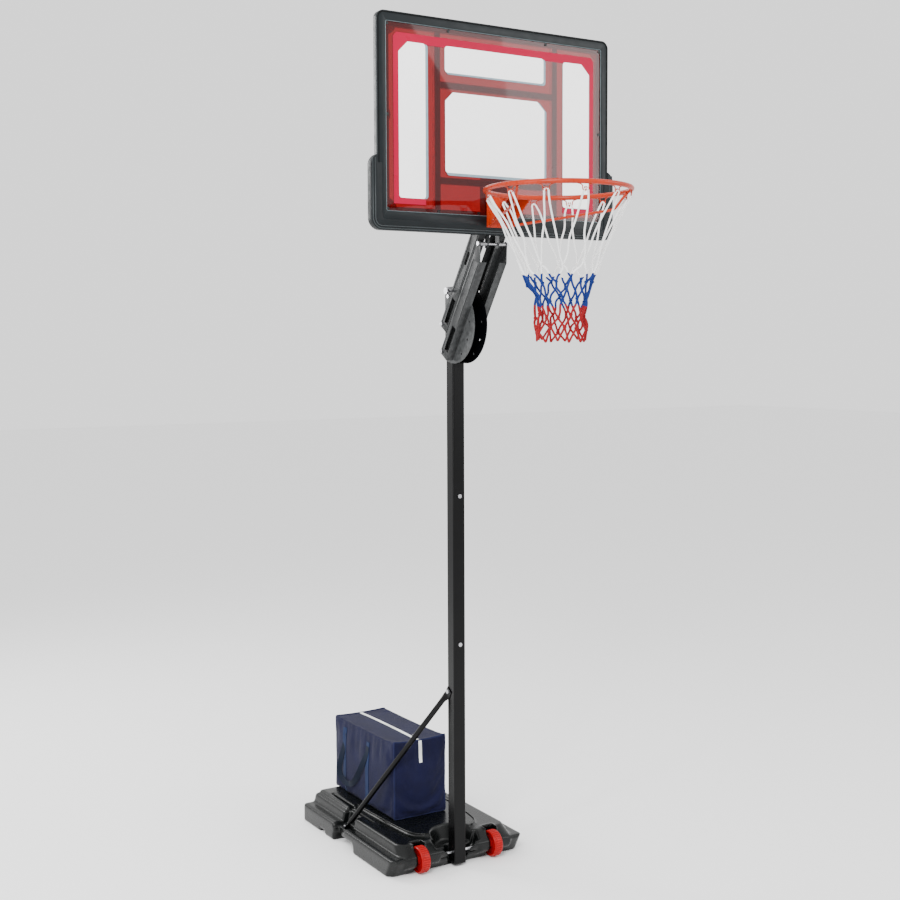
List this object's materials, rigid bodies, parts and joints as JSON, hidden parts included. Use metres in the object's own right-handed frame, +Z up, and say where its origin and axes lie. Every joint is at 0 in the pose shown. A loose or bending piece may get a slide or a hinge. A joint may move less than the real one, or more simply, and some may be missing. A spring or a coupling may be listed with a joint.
{
  "type": "portable basketball hoop",
  "caption": "Free-standing basketball hoop: wheeled ballast base, square pole, swinging arms that keep the clear board upright, rim and net, with a fabric weight bag.",
  "frame": {"origin": "on the floor, in the middle of the whole outline", "axes": "+Z up, the board and rim towards -Y, the base towards +Y, +X to the right for a viewer who looks along +Y"},
  "size_m": [0.998, 1.6446, 3.053],
  "materials": {
    "tank_plastic": "textured black blow-moulded plastic",
    "black_plastic": "satin",
    "frame_plastic": "satin black moulding",
    "pad_foam": "soft matt edge pad",
    "seal_rubber": "matt",
    "red_plastic": "glossy moulded red",
    "black_paint": "satin black powder coat",
    "grey_paint": "satin dark grey powder coat",
    "rail_paint": "black powder coat",
    "orange_paint": "glossy orange enamel",
    "zinc": "bright zinc",
    "sleeve_steel": "dull zinc",
    "clear_panel": "clear acrylic with a translucent red print",
    "bag_fabric": "navy woven polyester",
    "webbing": "dark navy webbing",
    "net_cord": "white, blue and red braided cord"
  },
  "bodies": {
    "base_and_pole": {"base_tank": "tank_plastic", "axle_rod": "zinc", "axle_caps": "zinc", "pole_lower": "black_paint", "pole_middle": "black_paint", "pole_upper": "black_paint", "pole_foot_cap": "black_plastic", "pole_top_cap": "black_plastic", "pole_joint_bolts": "zinc", "pole_joint_nuts": "zinc", "brace_left": "black_paint", "brace_right": "black_paint", "brace_top_bolt": "zinc", "brace_anchor_bolts": "zinc", "ballast_bag": "bag_fabric", "bag_handle_left": "webbing", "bag_handle_right": "webbing", "index_plate_left": "grey_paint", "index_plate_right": "grey_paint", "plate_bolt": "zinc", "pole_pivot_bolts": "zinc", "pole_pivot_nuts": "zinc", "pole_pivot_spacers": "sleeve_steel"},
    "upper_arms": {"upper_arm_left": "grey_paint", "upper_arm_right": "grey_paint", "pin_bush": "sleeve_steel"},
    "lower_arms": {"lower_arm_left": "grey_paint", "lower_arm_right": "grey_paint"},
    "lock_pin": {"lock_pin": "zinc"},
    "board": {"board_pivot_bolts": "zinc", "board_pivot_nuts": "zinc", "board_pivot_spacers": "sleeve_steel", "board_frame": "frame_plastic", "board_panel": "clear_panel", "board_pad": "pad_foam", "panel_screws": "black_plastic", "support_rail_left": "rail_paint", "support_rail_right": "rail_paint", "support_rail_upper": "rail_paint", "support_rail_lower": "rail_paint", "board_bracket_left": "grey_paint", "board_bracket_right": "grey_paint", "bracket_back_plate": "grey_paint", "bracket_bolts": "zinc", "rim_ring": "orange_paint", "rim_plate": "orange_paint", "rim_brace_left": "orange_paint", "rim_brace_right": "orange_paint", "net_hooks": "orange_paint", "rim_bolts": "zinc", "rim_nuts": "zinc", "rim_sleeves": "sleeve_steel", "net": "net_cord"},
    "wheel_left": {"wheel_left": "red_plastic"},
    "wheel_right": {"wheel_right": "red_plastic"},
    "filler_cap": {"filler_cap": "black_plastic", "cap_seal": "seal_rubber"},
    "zip_slider": {"zip_slider": "zinc"}
  },
  "joints": [
    {"name": "arm_swing", "type": "hinge", "parent": "base_and_pole", "child": "upper_arms", "pos_m": [0, 0.065, 2.04], "axis": [1, 0, 0], "range_deg": [0, 108]},
    {"name": "lower_arm_swing", "type": "hinge", "parent": "base_and_pole", "child": "lower_arms", "pos_m": [0, 0.065, 1.94], "axis": [1, 0, 0], "range_deg": [0, 108]},
    {"name": "board_level", "type": "hinge", "parent": "upper_arms", "child": "board", "pos_m": [0, -0.18664, 2.41307], "axis": [1, 0, 0], "range_deg": [-108, 0]},
    {"name": "lock_pin_slide", "type": "slide", "parent": "upper_arms", "child": "lock_pin", "axis": [1, 0, 0], "range_m": [0, 0.008]},
    {"name": "wheel_spin_left", "type": "hinge", "parent": "base_and_pole", "child": "wheel_left", "pos_m": [-0.16, 0.065, 0.052], "axis": [1, 0, 0], "continuous": true},
    {"name": "wheel_spin_right", "type": "hinge", "parent": "base_and_pole", "child": "wheel_right", "pos_m": [0.16, 0.065, 0.052], "axis": [1, 0, 0], "continuous": true},
    {"name": "cap_turn", "type": "hinge", "parent": "base_and_pole", "child": "filler_cap", "pos_m": [0.15, 0.72, 0.12], "axis": [0, 0, 1], "continuous": true},
    {"name": "zip_slide", "type": "slide", "parent": "base_and_pole", "child": "zip_slider", "axis": [0, 1, 0], "range_m": [0, 0.4]}
  ],
  "couplings": [
    {"joint": "lower_arm_swing", "follows": "arm_swing", "ratio": 1},
    {"joint": "board_level", "follows": "arm_swing", "ratio": -1}
  ]
}
